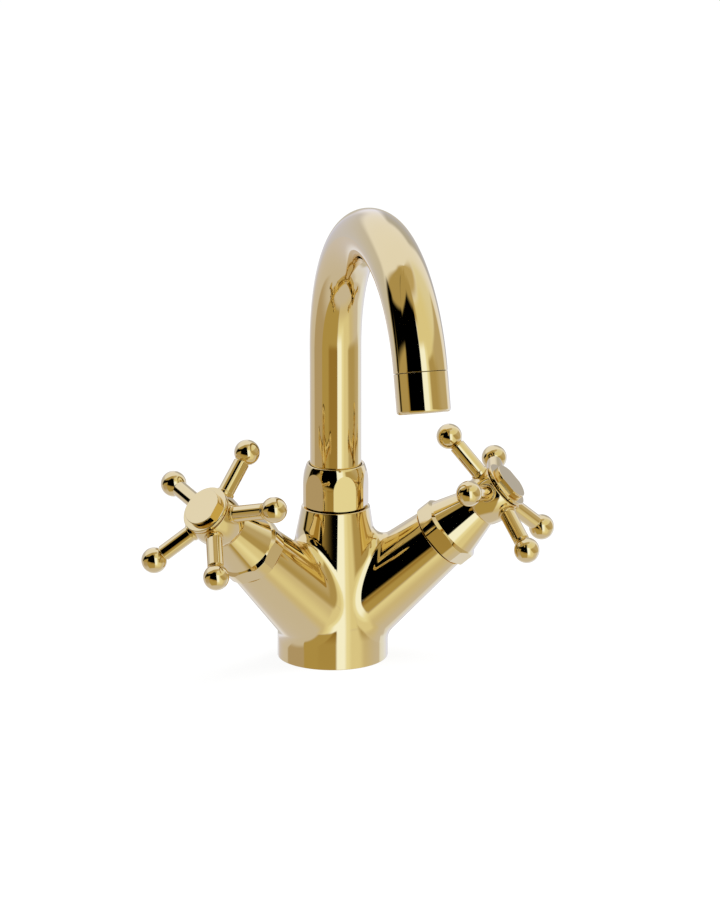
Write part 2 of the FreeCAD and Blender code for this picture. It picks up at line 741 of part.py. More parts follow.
def bonnet(side):
    """Six-flatted collar and cone, screwed down over the neck of the valve."""
    chamfer_top = "arm_length + collar_height + collar_chamfer_height"
    thread = "neck_radius + fit_clearance"
    room_top = "arm_length + bonnet_room_height"
    roof = f"{BONNET_TOP} - bonnet_roof"
    blank = turned(side + "_bonnet_blank", [
        ("bonnet_room_radius", "arm_length"), ("collar_corner_radius", "arm_length"),
        ("collar_corner_radius", "arm_length + collar_height"), ("cone_start_radius", chamfer_top),
        ("cone_end_radius", BONNET_TOP), ("bonnet_mouth_radius", BONNET_TOP),
        ("bonnet_mouth_radius", roof), (thread, roof), (thread, room_top), ("bonnet_room_radius", room_top)])
    flats = prism(side + "_bonnet_flats", NUT_SIDES, "collar_flat_radius", f"{BONNET_TOP} + overrun")
    node(along_arm(common(side + "_bonnet", blank, flats), side), side + "_bonnet")


# Cross handle

def handle_hub(side):
    """Barrel bored for the spindle and the screw, with a stepped seat for each spoke."""
    bore = "spindle_radius + fit_clearance"
    hole = "screw_radius + screw_hole_gap"
    web = f"{WELL} - hub_web_height"
    blank = turned(side + "_hub_blank", [
        (bore, HUB), ("hub_foot_radius", HUB), ("hub_end_radius", HUB_TOP, "hub_barrel_radius"),
        ("hub_well_radius", HUB_TOP), ("hub_well_radius", WELL), (hole, WELL), (hole, web), (bore, web)])
    stud = "spoke_stud_radius + fit_clearance"
    flange = "spoke_flange_radius + fit_clearance"
    floor = "hub_seat_radius - spoke_stud_length - fit_clearance"
    outside = "hub_end_radius + hub_height"
    seats = []
    for index in range(SPOKE_COUNT):
        seat = turned(f"{side}_spoke_seat_{index}", [
            ("0", floor), (stud, floor), (stud, "hub_seat_radius"), (flange, "hub_seat_radius"),
            (flange, outside), ("0", outside)])
        seats.append(place(seat, z=SPOKES, yaw=spoke_turn(index), pitch="90"))
    node(along_arm(cut(side + "_handle_hub", blank, seats), side), side + "_handle_hub")


def spoke_turn(index):
    """Direction of a spoke about the arm's axis; the first points up the slope."""
    return f"180 + 360 * {index} / {SPOKE_COUNT}"


def handle_spokes(side):
    """Turned spokes: stud, seating flange, stem, fine neck and ball."""
    stud = "hub_seat_radius - spoke_stud_length"
    flange = "hub_seat_radius + spoke_flange_height"
    ball_start = "ball_circle_radius - sqrt(ball_radius^2 - spoke_neck_radius^2)"
    neck = f"{ball_start} - spoke_neck_length"
    spokes = []
    for index in range(SPOKE_COUNT):
        spoke = turned(f"{side}_spoke_{index}", [
            ("0", stud), ("spoke_stud_radius", stud), ("spoke_stud_radius", "hub_seat_radius"),
            ("spoke_flange_radius", "hub_seat_radius"), ("spoke_flange_radius", flange),
            ("spoke_radius", flange), ("spoke_radius", neck), ("spoke_neck_radius", neck),
            ("spoke_neck_radius", ball_start), ("0", "ball_circle_radius + ball_radius", "ball_radius")])
        spokes.append(place(spoke, z=SPOKES, yaw=spoke_turn(index), pitch="90"))
    node(along_arm(group(side + "_handle_spokes", spokes), side), side + "_handle_spokes")


def handle_cap(side):
    """Index cap: plug in the hub's well, overhanging disc and a plain raised plate with two flats."""
    plug = "hub_well_radius - fit_clearance"
    foot = f"{HUB_TOP} - cap_plug_height"
    face = f"{HUB_TOP} + cap_height"
    top = f"{face} + plate_height"
    disc = turned(side + "_cap_disc", [
        ("0", foot), (plug, foot), (plug, HUB_TOP), ("cap_radius", HUB_TOP),
        ("cap_radius", f"{face} - cap_round"), ("cap_radius - cap_round", face, "cap_round"), ("0", face)])
    blank = turned(side + "_plate_blank", [
        ("0", HUB_TOP), ("plate_radius", HUB_TOP), ("plate_radius", f"{top} - plate_round"),
        ("plate_radius - plate_round", top, "plate_round"), ("0", top)])
    flats = box(side + "_plate_flats", "2 * cap_radius", "2 * plate_flat_radius",
                "cap_height + plate_height")
    place(flats, x="-cap_radius", y="-plate_flat_radius", z=HUB_TOP)
    plate = common(side + "_plate", blank, flats)
    node(along_arm(joined(side + "_handle_cap", [disc, plate]), side), side + "_handle_cap")


def handle_screw(side):
    end = f"{SPINDLE_TOP} - screw_length + overrun"
    top = f"{WELL} + screw_head_height"
    blank = turned(side + "_screw_blank", [
        ("0", end), ("screw_radius", end), ("screw_radius", WELL), ("screw_head_radius", WELL),
        ("screw_head_radius", top), ("0", top)])
    socket = prism(side + "_screw_socket", NUT_SIDES, "screw_socket_radius", "screw_socket_depth + overrun")
    place(socket, z=f"{top} - screw_socket_depth")
    node(along_arm(cut(side + "_handle_screw", blank, [socket]), side), side + "_handle_screw")


mixer_body()
base_seal()
for make in (spout_nut, spout_tube, spout_ferrule, spout_seals, spout_slip_ring,
             aerator_sleeve, aerator_insert, aerator_washer):
    make()
for side in SIDES:
    for make in (headwork, fixed_disc, moving_disc, seat_seal, spindle, spindle_seals, circlip,
                 bonnet, handle_hub, handle_spokes, handle_cap, handle_screw):
        make(side)
doc.recompute()

for item in doc.Objects:
    if "Invalid" in item.State or "Error" in item.State:
        raise RuntimeError(f"{item.Name} failed: {item.State}")
for feature in nodes:
    if feature.Shape.isNull() or not feature.Shape.isValid():
        raise RuntimeError(f"{feature.Label} has no valid shape")

os.makedirs("parts", exist_ok=True)
for feature in nodes:
    shape = feature.Shape
    shape.exportStep(f"parts/{feature.Label}.step")
    print(f"{feature.Label}: {len(shape.Solids)} solids, {shape.Volume:.1f} mm3")
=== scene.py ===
# %% [markdown]
# # A polished gold basin mixer
#
# The CAD frame holds every piece of this tap at its true size and place. This script gives the tap
# its looks. It builds the pieces that show again as fine, smooth meshes, because a mirror finish
# shows every facet. The valves inside keep their CAD meshes and only get a finish. Last come the
# camera, the white ground and the light tent of the picture. The tap and the camera's place are
# written in millimetres, and the table, the lamp and the tent in metres.

# %% Load the CAD frame
import json
import math

import bmesh
import bpy
import numpy as np
from bmesh.types import BMEdge, BMVert
from mathutils import Matrix, Vector


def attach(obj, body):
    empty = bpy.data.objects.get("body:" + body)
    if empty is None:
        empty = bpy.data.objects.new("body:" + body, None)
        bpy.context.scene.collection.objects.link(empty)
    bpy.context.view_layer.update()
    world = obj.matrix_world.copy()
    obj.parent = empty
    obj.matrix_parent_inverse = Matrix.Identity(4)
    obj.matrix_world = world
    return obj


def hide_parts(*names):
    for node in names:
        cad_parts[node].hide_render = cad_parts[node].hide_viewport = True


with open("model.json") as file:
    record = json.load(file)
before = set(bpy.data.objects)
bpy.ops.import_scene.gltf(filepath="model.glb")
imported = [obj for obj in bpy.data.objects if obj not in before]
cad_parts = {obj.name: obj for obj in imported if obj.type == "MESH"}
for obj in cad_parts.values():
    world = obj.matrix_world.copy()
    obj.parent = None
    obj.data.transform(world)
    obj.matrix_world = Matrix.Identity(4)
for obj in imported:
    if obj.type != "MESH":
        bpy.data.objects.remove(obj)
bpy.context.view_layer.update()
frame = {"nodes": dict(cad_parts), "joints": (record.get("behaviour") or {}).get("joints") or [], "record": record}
MM = 0.001
SIDES = ("left", "right")

# %% [markdown]
# ## Three axes
#
# Nearly everything on a tap is turned on a lathe, so each piece needs an axis before it needs a
# shape. The joints of the CAD record give them: the spout swivels about one, and each handle turns
# about its own slanting one. Reading them from the record, and not typing them in again, keeps the
# looks on the frame if the frame changes.

# %% Axes from the joints
joints = {joint["name"]: joint for joint in frame["joints"]}


def axis_frame(joint):
    """A matrix that stands at a joint, with Z along its axis and X up the slope."""
    axis = Vector(joint["axis"]).normalized()
    up = (Vector((0, 0, 1)) - axis * axis.z).normalized()
    turn = Matrix((up, axis.cross(up), axis)).transposed()
    return Matrix.Translation(joint["pos_m"]) @ turn.to_4x4()


def span(node, at):
    """Where a CAD node starts and ends along an axis, in mm."""
    back = at.inverted()
    heights = [(back @ vertex.co).z / MM for vertex in frame["nodes"][node].data.vertices]
    return min(heights), max(heights)


swivel = joints["spout_swivel"]["pos_m"]
spout_at = Matrix.Translation((swivel[0], swivel[1], 0))
handle_at = {side: axis_frame(joints[f"{side}_handle_turn"]) for side in SIDES}
nut_span = span("spout_nut", spout_at)
bonnet_span = span("left_bonnet", handle_at["left"])
hub_span = span("left_handle_hub", handle_at["left"])
print("nut", nut_span, "bonnet", bonnet_span, "hub", hub_span)

# %% [markdown]
# ## The finishes
#
# The tap is brass with a mirror-polished gold plating. A Principled shader at full metallic does
# that well: its reflection turns white at grazing angles by itself, as real plating does. Plating is
# never perfectly even, so a large soft noise shifts the colour and gloss by a hair. The hidden
# pieces get plain finishes of the same kind, with their own colour, gloss and grain.

# %% A procedural finish
BUMP_DEPTH = 0.1


def finish(name, dark, light, metallic, roughness, grain, relief):
    """A material whose colour and gloss wander a little with a noise, over a fine bump."""
    material = bpy.data.materials.new(name)
    material.use_nodes = True
    nodes, links = material.node_tree.nodes, material.node_tree.links
    shader = nodes["Principled BSDF"]
    place = nodes.new("ShaderNodeTexCoord")
    noise = nodes.new("ShaderNodeTexNoise")
    noise.inputs["Scale"].default_value = grain
    links.new(place.outputs["Object"], noise.inputs["Vector"])
    colour = nodes.new("ShaderNodeMix")
    colour.data_type = "RGBA"
    colour.inputs["A"].default_value = (*dark, 1)
    colour.inputs["B"].default_value = (*light, 1)
    links.new(noise.outputs["Fac"], colour.inputs["Factor"])
    links.new(colour.outputs["Result"], shader.inputs["Base Color"])
    gloss = nodes.new("ShaderNodeMapRange")
    gloss.inputs["To Min"].default_value = roughness[0]
    gloss.inputs["To Max"].default_value = roughness[1]
    links.new(noise.outputs["Fac"], gloss.inputs["Value"])
    links.new(gloss.outputs["Result"], shader.inputs["Roughness"])
    bump = nodes.new("ShaderNodeBump")
    bump.inputs["Strength"].default_value = relief
    bump.inputs["Distance"].default_value = BUMP_DEPTH * MM
    links.new(noise.outputs["Fac"], bump.inputs["Height"])
    links.new(bump.outputs["Normal"], shader.inputs["Normal"])
    shader.inputs["Metallic"].default_value = metallic
    return material


# %% Finishes for all CAD nodes: dark, light, metallic, roughness, grain, relief
LOOKS = {
    "polished_gold": ((0.79, 0.61, 0.262), (0.81, 0.63, 0.278), 1, (0.03, 0.05), 40, 0.01),
    "raw_brass": ((0.50, 0.36, 0.14), (0.56, 0.42, 0.18), 1, (0.28, 0.4), 900, 0.1),
    "steel": ((0.52, 0.52, 0.53), (0.60, 0.60, 0.61), 1, (0.25, 0.35), 900, 0.1),
    "black_rubber": ((0.012, 0.012, 0.012), (0.022, 0.022, 0.022), 0, (0.55, 0.7), 1500, 0.2),
    "valve_ceramic": ((0.78, 0.77, 0.74), (0.84, 0.83, 0.80), 0, (0.12, 0.2), 700, 0.02),
    "white_plastic": ((0.70, 0.70, 0.68), (0.76, 0.76, 0.74), 0, (0.35, 0.45), 700, 0.05),
}
finishes = {name: finish(name, *look) for name, look in LOOKS.items()}
for part in frame["record"]["subparts"]:
    mesh = frame["nodes"][part["node"]].data
    mesh.materials.clear()
    mesh.materials.append(finishes[part["material_slot"]])

# %% [markdown]
# ## A lathe and a mill
#
# On the real tap the nut, bonnets, hubs, spokes and caps are turned from bar, and the spanner flats
# are milled on afterwards. The same order works here. A half section is drawn as a few corners,
# small arcs soften the edges, and bmesh spins it once round. Each flat is one plane cut that takes
# off what lies outside, with a face to close it and a narrow bevel round that face.

# %% Outlines


def rounded(corners, steps=4):
    """The outline through (radius, height, round) corners, in mm, with an arc at each rounded one."""
    outline = []
    for index, (radius, height, size) in enumerate(corners):
        here = Vector((radius, height))
        if not size:
            outline.append(here)
            continue
        before = (Vector(corners[index - 1][:2]) - here).normalized()
        after = (Vector(corners[(index + 1) % len(corners)][:2]) - here).normalized()
        half = before.angle(after) / 2
        centre = here + (before + after).normalized() * (size / math.sin(half))
        first = here + before * (size / math.tan(half)) - centre
        last = here + after * (size / math.tan(half)) - centre
        sweep = math.pi - 2 * half
        for step in range(steps + 1):
            share = step / steps
            mix = first * math.sin((1 - share) * sweep) + last * math.sin(share * sweep)
            outline.append(centre + mix / math.sin(sweep))
    return outline


def arc(centre, size, first, last, steps):
    """Points on an arc round a (radius, height) centre, between two angles in degrees."""
    angles = [math.radians(first + (last - first) * step / steps) for step in range(steps + 1)]
    return [Vector((centre[0] + size * math.cos(a), centre[1] + size * math.sin(a))) for a in angles]


# %% Spinning
TURN_STEPS = 160
TOUCH = 1e-7


def turned(outline, steps=TURN_STEPS):
    """A closed solid spun from an outline of (radius, height) points, in mm."""
    bm = bmesh.new()
    section = [bm.verts.new((max(radius, 0) * MM, 0, height * MM)) for radius, height in outline]
    pairs = list(zip(section, section[1:]))
    if section[0].co.x > 0 or section[-1].co.x > 0:
        pairs.append((section[-1], section[0]))
    edges = [bm.edges.new(pair) for pair in pairs]
    bmesh.ops.spin(bm, geom=section + edges, cent=(0, 0, 0), axis=(0, 0, 1), angle=math.tau,
                   steps=steps, use_merge=True)
    bmesh.ops.remove_doubles(bm, verts=bm.verts, dist=TOUCH)
    bmesh.ops.recalc_face_normals(bm, faces=bm.faces)
    return bm


# %% Milling flats
SPUN_CORNERS = 8


def everything(bm):
    """All vertices, edges and faces of a bmesh."""
    return bm.verts[:] + bm.edges[:] + bm.faces[:]


def only(kind, items):
    """The items of one kind, BMVert or BMEdge, among those that an operator returns."""
    return [item for item in items if isinstance(item, kind)]


def once(items):
    """The items in their order, each of them once."""
    return list(dict.fromkeys(items))


def mill(bm, distance, angles, edge):
    """Mill flats at a distance from Z, in mm, facing the given angles, and soften their outlines."""
    for angle in angles:
        normal = Vector((math.cos(math.radians(angle)), math.sin(math.radians(angle)), 0))
        cut = bmesh.ops.bisect_plane(bm, geom=everything(bm), dist=TOUCH, plane_co=normal * distance * MM,
                                     plane_no=normal, clear_outer=True)
        bmesh.ops.edgeloop_fill(bm, edges=only(BMEdge, cut["geom_cut"]))
    bmesh.ops.recalc_face_normals(bm, faces=bm.faces)
    flats = [face for face in bm.faces if len(face.verts) > SPUN_CORNERS]
    rims = once(item for face in flats for item in face.edges)
    bmesh.ops.bevel(bm, geom=rims, offset=edge * MM, offset_type="OFFSET", segments=2, profile=0.5,
                    affect="EDGES", clamp_overlap=True, material=-1)
    return len(flats)


# %% From a bmesh to a finished piece


def mesh_from(bm, name):
    """A mesh with the shape of a bmesh, which is freed."""
    mesh = bpy.data.meshes.new(name)
    bm.to_mesh(mesh)
    bm.free()
    return mesh


def placed(name, data):
    """A new object in the scene that shows a mesh, a lamp or a camera."""
    obj = bpy.data.objects.new(name, data)
    bpy.context.scene.collection.objects.link(obj)
    return obj


def piece(bm, name, body, node, at=Matrix(), even=True):
    """Put a mesh in place as an object that rides on a body and stands for a CAD node."""
    bmesh.ops.transform(bm, matrix=at, verts=bm.verts)
    bmesh.ops.recalc_face_normals(bm, faces=bm.faces)
    for face in bm.faces:
        face.smooth = True
    mesh = mesh_from(bm, name)
    mesh.materials.append(finishes["polished_gold"])
    obj = placed(name, mesh)
    if even:
        obj.modifiers.new("even_shading", "WEIGHTED_NORMAL").weight = 100
    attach(obj, body)
    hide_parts(node)
    print(name, len(mesh.polygons), "faces")
    return obj


# %% [markdown]
# ## The swivel nut
#
# The nut holds the spout down on the casting and lets it turn. It is a turned barrel with a rounded
# shoulder, and its six flats end in arches where they run out in the shoulder. Cutting the flats
# out of a spun barrel gives those arches for nothing, while a hexagonal prism would have to have
# them modelled. One flat faces the front. The nut is a hair wider and taller than its solid, as in
# the picture, and its foot slopes up from the casting, which leaves a fine dark line.

# %% Turn the nut and mill six flats
NUT_RADIUS, NUT_FLAT, NUT_RISE, NUT_EDGE = 14.2, 13.29, 0.6, 0.22
NUT_NECK, NUT_GAP, NUT_CHAMFER = 12.0, 0.75, 0.35
NUT_THREAD, NUT_ROOF, NUT_MOUTH = 11.85, 4.75, 11.3
SHOULDER_HEIGHT, SHOULDER_TOP, SHOULDER_STOP, SHOULDER_STEPS = 9.6, 12.3, 2, 24
MOUTH_ROUND, MOUTH_DROP, MOUTH_LEAN = 0.4, 0.35, (0.15, 0.5)
HEXAGON = [60 * index for index in range(6)]
nut_foot, nut_top = nut_span[0], nut_span[1] + NUT_RISE
nut_edge, nut_roof = nut_foot + NUT_GAP, nut_top - NUT_ROOF
shoulder_foot, shoulder_drop = nut_top - SHOULDER_HEIGHT, NUT_RADIUS - SHOULDER_TOP
shoulder = (SHOULDER_HEIGHT ** 2 + shoulder_drop ** 2) / (2 * shoulder_drop)
shoulder_angle = math.degrees(math.asin(SHOULDER_HEIGHT / shoulder))
lower = rounded([(NUT_THREAD, nut_roof, 0), (NUT_THREAD, nut_foot, 0), (NUT_NECK, nut_foot, 0),
                 (NUT_RADIUS - NUT_CHAMFER, nut_edge, 0.1), (NUT_RADIUS, nut_edge + NUT_CHAMFER, 0.15),
                 (NUT_RADIUS, shoulder_foot, 0)])
bend = arc((NUT_RADIUS - shoulder, shoulder_foot), shoulder, 0, shoulder_angle - SHOULDER_STOP,
           SHOULDER_STEPS)
upper = rounded([(SHOULDER_TOP + MOUTH_LEAN[0], nut_top - MOUTH_LEAN[1], 0),
                 (SHOULDER_TOP, nut_top, MOUTH_ROUND), (NUT_MOUTH, nut_top - MOUTH_DROP, 0.1),
                 (NUT_MOUTH, nut_roof, 0)])
nut = turned(lower + bend[1:] + upper[1:])
print(mill(nut, NUT_FLAT, [angle - 90 for angle in HEXAGON], NUT_EDGE), "flats on the nut")
piece(nut, "swivel_nut", "root", "spout_nut", spout_at)

# %% [markdown]
# ## The swan neck
#
# The spout is one 22 mm tube: a straight leg and a single long bend that stops short of a half turn.
# A curve object with a bevel would do, but spinning a ring about the bend's own axis puts every row
# of faces exactly square to the bend, so that the long reflections run without a ripple.

# %% Extrude the leg
TUBE_RADIUS, TUBE_BORE, TUBE_FOOT, LEG_CUTS = 11.0, 9.7, 81.6, 11
BEND_HEIGHT, BEND_RADIUS, BEND_SWEEP, BEND_STEPS = 138.84, 59.71, math.radians(164.1), 150
tube = bmesh.new()
for radius in (TUBE_RADIUS, TUBE_BORE):
    bmesh.ops.create_circle(tube, segments=TURN_STEPS, radius=radius * MM,
                            matrix=Matrix.Translation((0, 0, TUBE_FOOT * MM)))
leg = bmesh.ops.extrude_edge_only(tube, edges=tube.edges[:])["geom"]
bmesh.ops.translate(tube, vec=(0, 0, (BEND_HEIGHT - TUBE_FOOT) * MM), verts=only(BMVert, leg))
upright = [edge for edge in tube.edges if abs(edge.verts[0].co.z - edge.verts[1].co.z) > MM]
bmesh.ops.subdivide_edges(tube, edges=upright, cuts=LEG_CUTS)
print(len(upright), "edges along the leg")

# %% Spin the bend and close the tube's wall
TUBE_EDGE, LEVEL = 0.12, 0.01
bend_start = (BEND_HEIGHT - LEVEL) * MM
ring = [edge for edge in tube.edges if min(vert.co.z for vert in edge.verts) > bend_start]
bmesh.ops.spin(tube, geom=ring + once(vert for edge in ring for vert in edge.verts), axis=(1, 0, 0),
               cent=(0, -BEND_RADIUS * MM, BEND_HEIGHT * MM), angle=BEND_SWEEP, steps=BEND_STEPS)
rims = [edge for edge in tube.edges if edge.is_boundary]
at_outlet = [edge for edge in rims if edge.verts[0].co.y < -BEND_RADIUS * MM]
at_foot = [edge for edge in rims if edge not in at_outlet]
for end in (at_foot, at_outlet):
    bmesh.ops.bridge_loops(tube, edges=end)
bmesh.ops.recalc_face_normals(tube, faces=tube.faces)
bmesh.ops.bevel(tube, geom=rims, offset=TUBE_EDGE * MM, offset_type="OFFSET", segments=2, profile=0.5,
                affect="EDGES", material=-1)
print(len([edge for edge in tube.edges if not edge.is_manifold]), "loose edges on the tube")
piece(tube, "swan_neck", "spout", "spout_tube", spout_at)

# %% [markdown]
# ## The outlet
#
# A short sleeve closes the tube and carries the aerator. It is turned to the tube's own diameter, so
# only a hair-thin seam shows where the two meet. The seam is real here: the sleeve's shoulder slopes
# 0.3 mm away from the tube's end. Light that enters so narrow a groove is mirrored from wall to wall
# and loses some on each, so the line looks dark. The other joints on the tap are cut the same way.

# %% Turn the outlet sleeve
OUTLET_LENGTH, OUTLET_BORE, OUTLET_ROUND = 16.7, 8.5, 1.3
SPIGOT, SPIGOT_LENGTH, LIP, LIP_HEIGHT = 9.4, 4, 7.6, 2.2
SEAM, SEAM_DEPTH, SEAT = 0.3, 1, 0.02
lip_top = OUTLET_LENGTH - LIP_HEIGHT
sleeve = turned(rounded([
    (OUTLET_BORE, -SPIGOT_LENGTH, 0), (SPIGOT, -SPIGOT_LENGTH, 0), (SPIGOT, SEAT, 0),
    (TUBE_RADIUS - SEAM_DEPTH, SEAT, 0), (TUBE_RADIUS, SEAM, 0.05),
    (TUBE_RADIUS, OUTLET_LENGTH, OUTLET_ROUND), (LIP, OUTLET_LENGTH, 0.3), (LIP, lip_top, 0),
    (OUTLET_BORE, lip_top, 0)]))
bend_end = Vector((0, BEND_RADIUS * (math.cos(BEND_SWEEP) - 1),
                   BEND_HEIGHT + BEND_RADIUS * math.sin(BEND_SWEEP)))
outlet_at = spout_at @ Matrix.Translation(bend_end * MM) @ Matrix.Rotation(BEND_SWEEP, 4, "X")
piece(sleeve, "outlet_sleeve", "spout", "aerator_sleeve", outlet_at)

# %% [markdown]
# ## Bonnets and cross handles
#
# Each arm carries a cone-shaped bonnet over its valve and a cross handle with five ball-ended
# spokes. Both sides are the same pieces on mirrored axes, so one loop builds them twice. All heights
# below count from the plane of the spokes, where the handle's joint sits.

# %% Turn the bonnets
COLLAR_RADIUS, COLLAR_FLAT, COLLAR_HEIGHT, COLLAR_EDGE = 15.0, 14.15, 7.2, 0.25
COLLAR_GAP, GAP_ROOT, GAP_END = 0.85, 12.7, 13.9
CONE_START, CONE_FOOT, CONE_END = 13.55, 8.4, 9.05
SPINDLE_HOLE, ROOF_WALL, VALVE_ROOM, SKIRT_BORE, SKIRT_HEIGHT = 5.3, 2.9, 8.25, 12.6, 5.6
foot, roof = bonnet_span
seam, ceiling, skirt = foot + COLLAR_GAP, roof - ROOF_WALL, foot + SKIRT_HEIGHT
for side in SIDES:
    bonnet = turned(rounded([
        (SKIRT_BORE, foot, 0), (GAP_ROOT, foot, 0), (GAP_END, seam, 0), (COLLAR_RADIUS, seam, 0.2),
        (COLLAR_RADIUS, foot + COLLAR_HEIGHT, 0.25), (CONE_START, foot + CONE_FOOT, 0.2),
        (CONE_END, roof, 0.25), (SPINDLE_HOLE, roof, 0), (SPINDLE_HOLE, ceiling, 0),
        (VALVE_ROOM, ceiling, 0), (VALVE_ROOM, skirt, 0), (SKIRT_BORE, skirt, 0)]))
    mill(bonnet, COLLAR_FLAT, [angle + 30 for angle in HEXAGON], COLLAR_EDGE)
    piece(bonnet, f"{side}_valve_bonnet", "root", f"{side}_bonnet", handle_at[side])

# %% [markdown]
# The hub is a smooth barrel, a little wider at its top. One arc through the two ends gives the belly:
# its centre lies on the line that halves the chord between them. The well for the screw stays hollow.
# The hub turns just clear of the bonnet, so its foot is let down to leave only a hair of light there.

# %% Turn the hubs
HUB_FOOT, HUB_END, HUB_BARREL, HUB_DROP, BARREL_STEPS = 9.7, 10.4, 22.0, 0.3, 30
FOOT_BREAK, FOOT_BREAK_ANGLE = 0.2, 0.5
WELL, WELL_DEPTH, SCREW_HOLE, SOCKET, SOCKET_ROOF = 7.2, 5.2, 2.6, 4.05, 7.2
foot, top = hub_span[0] - HUB_DROP, hub_span[1]
low, high = Vector((HUB_FOOT, foot)), Vector((HUB_END, top))
half = (high - low) / 2
sideways = Vector((-half.y, half.x)).normalized()
belly = low + half + sideways * math.sqrt(HUB_BARREL ** 2 - half.length_squared)
tilts = [math.degrees(math.atan2(point.y - belly.y, point.x - belly.x)) for point in (low, high)]
barrel = arc(belly, HUB_BARREL, tilts[0] + FOOT_BREAK_ANGLE, tilts[1], BARREL_STEPS)
well = [(WELL, top), (WELL, top - WELL_DEPTH), (SCREW_HOLE, top - WELL_DEPTH),
        (SCREW_HOLE, top - SOCKET_ROOF), (SOCKET, top - SOCKET_ROOF), (SOCKET, foot),
        (HUB_FOOT - FOOT_BREAK, foot)]
for side in SIDES:
    hub = turned([Vector(corner) for corner in well] + barrel)
    piece(hub, f"{side}_hub", f"{side}_handle", f"{side}_handle_hub", handle_at[side])

# %% [markdown]
# A spoke is one turned pin: a seating flange let into the hub, a plain stem, a fine neck groove and
# the ball. It is spun once and copied round the hub, and the five stay one object because they are
# one node in the frame.

# %% Turn a spoke and set five round each hub
SPOKES, SPOKE_STEPS, BALL_STEPS = 5, 96, 40
PEG, PEG_START, FLANGE, FLANGE_START, FLANGE_END = 2.0, 7.7, 3.95, 9.9, 11.9
STEM, NECK, NECK_LENGTH, BALL, BALL_CIRCLE = 3.45, 2.8, 0.45, 5.45, 31.46
ball_start = BALL_CIRCLE - math.sqrt(BALL ** 2 - NECK ** 2)
ball_turn = math.degrees(math.asin((ball_start - BALL_CIRCLE) / BALL))
neck_start = ball_start - NECK_LENGTH
shank = rounded([
    (0, PEG_START, 0), (PEG, PEG_START, 0), (PEG, FLANGE_START, 0), (FLANGE, FLANGE_START, 0.1),
    (FLANGE, FLANGE_END, 0.25), (STEM, FLANGE_END, 0.1), (STEM, neck_start, 0.15), (NECK, neck_start, 0),
    (NECK, ball_start, 0)])
ball = arc((0, BALL_CIRCLE), BALL, ball_turn, 90, BALL_STEPS)
for side in SIDES:
    spokes = turned(shank[:-1] + ball, steps=SPOKE_STEPS)
    bmesh.ops.rotate(spokes, verts=spokes.verts, cent=(0, 0, 0), matrix=Matrix.Rotation(math.pi / 2, 3, "Y"))
    pin = everything(spokes)
    for index in range(1, SPOKES):
        copy = bmesh.ops.duplicate(spokes, geom=pin)["geom"]
        bmesh.ops.rotate(spokes, verts=only(BMVert, copy), cent=(0, 0, 0),
                         matrix=Matrix.Rotation(math.tau * index / SPOKES, 3, "Z"))
    piece(spokes, f"{side}_spokes", f"{side}_handle", f"{side}_handle_spokes", handle_at[side])

# %% [markdown]
# The cap is a thin disc over the hub with a raised plate on it. It could be one turning, but the
# plate has two straight sides, which face across the slope. So the plate is turned by itself, gets
# two flats from the mill, and then joins the disc's mesh.

# %% Turn the caps and mill the plate
CAP_RADIUS, CAP_HEIGHT, CAP_GAP, CAP_SEAT, CAP_ROUND = 10.65, 2.0, 0.7, 8.8, 0.4
PLUG, PLUG_DEPTH = 7.15, 1.8
PLATE_RADIUS, PLATE_FLAT, PLATE_HEIGHT, PLATE_ROOT, PLATE_EDGE = 8.2, 7.4, 2.5, 0.5, 0.2
cap_face = top + CAP_HEIGHT
plate_foot, plate_face = cap_face - PLATE_ROOT, cap_face + PLATE_HEIGHT
for side in SIDES:
    cap = turned(rounded([
        (0, top - PLUG_DEPTH, 0), (PLUG, top - PLUG_DEPTH, 0), (PLUG, top, 0), (CAP_SEAT, top, 0),
        (CAP_RADIUS, top + CAP_GAP, 0.1), (CAP_RADIUS, cap_face, CAP_ROUND), (0, cap_face, 0)]))
    plate = turned(rounded([(0, plate_foot, 0), (PLATE_RADIUS, plate_foot, 0),
                            (PLATE_RADIUS, plate_face, 0.25), (0, plate_face, 0)]))
    mill(plate, PLATE_FLAT, (90, 270), PLATE_EDGE)
    raised = mesh_from(plate, "raised_plate")
    cap.from_mesh(raised)
    bpy.data.meshes.remove(raised)
    piece(cap, f"{side}_cap", f"{side}_handle", f"{side}_handle_cap", handle_at[side])

# %% [markdown]
# ## The casting
#
# Foot, pillar and arms are one brass casting, polished until the arms flow into the pillar in a soft
# fillet. Edge bevels can't give that: the seams are long space curves where cones meet at a slant.
# So the form is written as a distance field instead. Each cone tells how far a point is from it and
# which way is out. Where two of them are close, a ball that touches both rounds the corner between. A
# voxel remesh gives an even skin of quads, and every vertex then slides along the slope of the field
# onto the true surface.

# %% Foot and pillar as a distance field
FOOT_RADIUS, FOOT_HEIGHT, FOOT_BLEND = 23.8, 15.5, 4.0
PILLAR_TOP, PILLAR_RADIUS = nut_span[0], 14.65
PILLAR_LENGTH = PILLAR_TOP - FOOT_HEIGHT
TINY = 1e-9
spout_back = swivel[1] / MM


def pillar_field(points):
    """How far points, in mm, lie outside the foot and the leaning pillar, and the way out of them."""
    x, y, z = points.T
    rise = z - FOOT_HEIGHT
    grown = np.clip(rise / (2 * FOOT_BLEND) + 0.5, 0, 1)
    share = np.where(rise > FOOT_BLEND, rise, FOOT_BLEND * grown ** 2) / PILLAR_LENGTH
    y = y - spout_back * share
    across = np.hypot(x, y) + TINY
    taper = grown * (FOOT_RADIUS - PILLAR_RADIUS - spout_back * y / across) / PILLAR_LENGTH
    radius = FOOT_RADIUS + (PILLAR_RADIUS - FOOT_RADIUS) * share
    out = np.stack([x / across, y / across, taper], 1)
    steep = np.sqrt(1 + taper ** 2)
    return (across - radius) / steep, out / steep[:, None]


